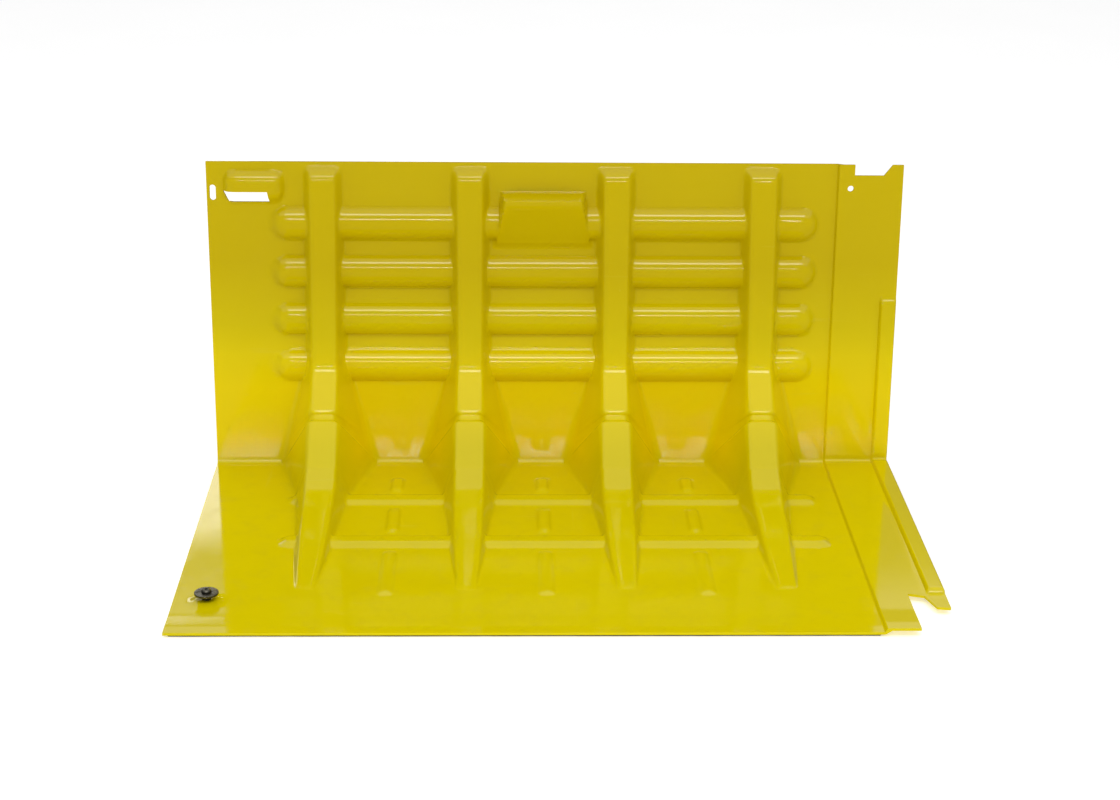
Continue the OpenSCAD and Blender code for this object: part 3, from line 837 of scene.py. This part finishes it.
def hexagon(flats, a):
    """Radius of a hexagon flats wide at angle a: half of flats over the cosine of the angle from
    the nearest flat's middle."""
    return flats / 2 / np.cos((a + np.pi / 6) % (np.pi / 3) - np.pi / 6)


def box_mm(node):
    """Lowest and highest z of a CAD node and its radius, in millimetres."""
    low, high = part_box(node)
    return low[2] / MM, high[2] / MM, (high[0] - low[0]) / MM / 2


low, high, edge = box_mm("spacer_collar")
squeeze = 0.35                  # how far the rubber bulges at half height
ring = rounded([(bore, low), (edge - squeeze, low), (edge - squeeze, high), (bore, high)], 0.5)
ring = fine(ring, 0.3)
bulge = squeeze * (1 - ((ring[:, 1] - (low + high) / 2) / (high - low) * 2) ** 2) * (ring[:, 0] > 5.5)
collar = turned("rubber_collar", ring[:, 0] + bulge, ring[:, 1])

low, high, edge = box_mm("clamp_disc")
ring = rounded([(bore, low), (edge, low), (edge, high), (bore, high)], 0.55, 7)
disc = turned("clamp_plate", ring[:, 0], ring[:, 1], around=144)

low, high, edge = box_mm("backing_washer")
ring = rounded([(bore, low), (edge, low), (edge, high), (bore, high)], 0.3)
washer = turned("washer", ring[:, 0], ring[:, 1])

low, high, _ = box_mm("lock_nut")
angle = np.arange(120) * 2 * np.pi / 120
levels = np.linspace(low, high, 25)[:, None]
cone = 6.2 + 1.73 * np.minimum(levels - low, high - levels)
outside = np.minimum(hexagon(13, angle), cone)
inside = 4.05 + np.clip(0.5 - np.minimum(levels - low, high - levels), 0, 1) * 0.8
inside = np.broadcast_to(inside, outside.shape)
nut = turned("hexagon_nut", np.concatenate([outside, inside[::-1]]),
             np.concatenate([levels[:, 0], levels[::-1, 0]]), around=120)

low, high, head_r = box_mm("clamp_screw")
under_head = box_mm("clamp_disc")[0] + disc_thick
levels = np.linspace(low, under_head, 150)
angle = np.arange(72) * 2 * np.pi / 72
wave = (levels[:, None] / thread_pitch - angle / (2 * np.pi)) % 1
thread = 4.0 - thread_deep * (1 - np.abs(2 * wave - 1)) * (levels[:, None] < under_head - 1.5)
tip = 3.2 + (levels[:, None] - low)
shank = np.minimum(thread, tip)
dome_turn = np.linspace(0, np.pi / 2, 14)
crown_r = head_r * (0.55 + 0.45 * np.cos(dome_turn))
crown_z = under_head + 0.8 + (high - under_head - 0.8) * np.sin(dome_turn)
socket = hexagon(5, angle)
wide = np.ones(72)
rows = [(0.05 * wide, low)] + [(shank[k], z) for k, z in enumerate(levels)]
rows += [((head_r - 0.25) * wide, under_head), (head_r * wide, under_head + 0.25)]
rows += [(r * wide, z) for r, z in zip(crown_r, crown_z)]
rows += [(socket + 0.18, high), (socket, high - 0.15), (socket, under_head + 1.9),
         (0.05 * wide, under_head + 1.5)]
screw = turned("socket_screw", np.array([r for r, _ in rows]), np.array([z for _, z in rows]), False, 72)

for obj, node, body, name in ((collar, "spacer_collar", "panel", "collar_rubber"),
                              (disc, "clamp_disc", "disc", "steel"),
                              (screw, "clamp_screw", "screw", "steel"),
                              (washer, "backing_washer", "panel", "steel"),
                              (nut, "lock_nut", "panel", "steel")):
    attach(obj, body)
    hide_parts(node)
for obj in (collar, disc, washer, nut, screw):
    print(obj.name, "has", sum(len(p.vertices) - 2 for p in obj.data.polygons), "triangles")

# %% [markdown]
# ## Zinc-plated steel and black rubber
# Plated steel is grey metal under a thin clear chromate film. Turning and blanking leave fine
# circles about the stud, so the distance from the axis drives a wave that changes gloss and height.
# Handling dulls it in patches, and a trace of rust sits where the film is worn. Rubber is near
# black, dull, with a fine grain and pale dust.

# %% Steel and rubber
steel, shader, at = material("plated_steel", {"Metallic": 1.0})
axis = (stud[0] * MM, stud[1] * MM, 0)
arm = at.node("ShaderNodeVectorMath", {"operation": "SUBTRACT"}, {0: at, 1: axis})
arm = arm.node("ShaderNodeVectorMath", {"operation": "MULTIPLY"}, {0: arm, 1: (1, 1, 0)})
radius = arm.node("ShaderNodeVectorMath", {"operation": "LENGTH"}, {0: arm}, 1)
phase = radius * 14000 + at.noise(400, 1.0) * 2.5
rings = phase.math("SINE", phase)
worn = at.noise(110, 4.0, 0.65).clamp(0.42, 0.66)
specks = at.noise(900, 2.0, 0.6).clamp(0.66, 0.74)
tone = worn.mix((0.150, 0.140, 0.110, 1), (0.060, 0.055, 0.040, 1))
tone = (specks * worn * 0.6).mix(tone, (0.14, 0.06, 0.025, 1))
bump = at.node("ShaderNodeBump", {}, {"Strength": 0.35, "Distance": 0.00004,
                                      "Height": rings * 0.5 + at.noise(1500, 2.0) - specks * worn})
gloss = 0.2 + worn * 0.2 + rings * 0.03 + specks * 0.2
feed(shader, {"Base Color": tone, "Roughness": gloss, "Normal": bump})
rubber, shader, at = material("black_rubber", {"Specular IOR Level": 0.35})
dust = at.noise(180, 4.0, 0.6).clamp(0.48, 0.72)
grain = at.noise(2600, 2.0, 0.6)
bump = at.node("ShaderNodeBump", {}, {"Strength": 0.5, "Distance": 0.00005, "Height": grain})
feed(shader, {"Base Color": (dust * 0.4).mix((0.014, 0.014, 0.014, 1), (0.07, 0.066, 0.06, 1)),
              "Roughness": 0.5 + dust * 0.25, "Normal": bump})
for obj, finish in ((collar, rubber), (disc, steel), (screw, steel), (washer, steel), (nut, steel)):
    obj.data.materials.append(finish)
print("steel has", len(steel.node_tree.nodes), "nodes, rubber", len(rubber.node_tree.nodes))

# %% [markdown]
# ## Studio
# A pale floor that glows a little, a weak white sky and four lamps. The overhead lamp is as broad as
# the floor that shows, and lights it evenly. A thin lamp low in front draws one crisp line along each
# rounded edge, a broader one above it shades the beads, and a window behind is mirrored in the left
# of the base. The floor isn't mirrored, so no white haze lies on the yellow wall.

# %% Floor, sky and lamps
def lamp(name, place_, look_at, size, power):
    """A rectangular soft lamp that faces a point."""
    data = bpy.data.lights.new(name, "AREA")
    data.shape, data.size, data.size_y, data.energy = "RECTANGLE", *size, power
    obj = bpy.data.objects.new(name, data)
    obj.location = place_
    obj.rotation_euler = (Vector(look_at) - Vector(place_)).to_track_quat("-Z", "Y").to_euler()
    bpy.context.scene.collection.objects.link(obj)
    return obj


far = 30000
floor = new_mesh("floor", [[-far, -far, 0], [far, -far, 0], [far, far, 0], [-far, far, 0]],
                 [[0, 1, 2, 3]], False)
pale, shader, at = material("pale_floor", {"Roughness": 0.6, "Emission Color": (1, 1, 1, 1),
                                           "Emission Strength": 0.4})
tone = at.noise(3, 2).clamp(0.3, 0.7).mix((0.96, 0.96, 0.96, 1), (0.975, 0.975, 0.975, 1))
feed(shader, {"Base Color": tone})
floor.data.materials.append(pale)
floor.visible_glossy = False
lamp("overhead", (0, 2.5, 5.0), (0, 2.5, 0), (14.0, 16.0), 450)
lamp("front", (-0.2, -3.6, 1.35), (0, 0, 0.3), (2.6, 0.06), 18)
lamp("strip", (0.2, -2.1, 3.0), (0, 0, 0.3), (3.2, 0.7), 40)
lamp("window", (-1.5, 3.2, 1.30), (-0.5, 0.1, 0.0), (1.4, 0.35), 4)
world = bpy.data.worlds.new("sky")
world.use_nodes = True
world.node_tree.nodes["Background"].inputs["Color"].default_value = (1, 1, 1, 1)
world.node_tree.nodes["Background"].inputs["Strength"].default_value = 0.16
bpy.context.scene.world = world
bpy.context.scene.view_settings.view_transform = "Standard"
print("stage set")
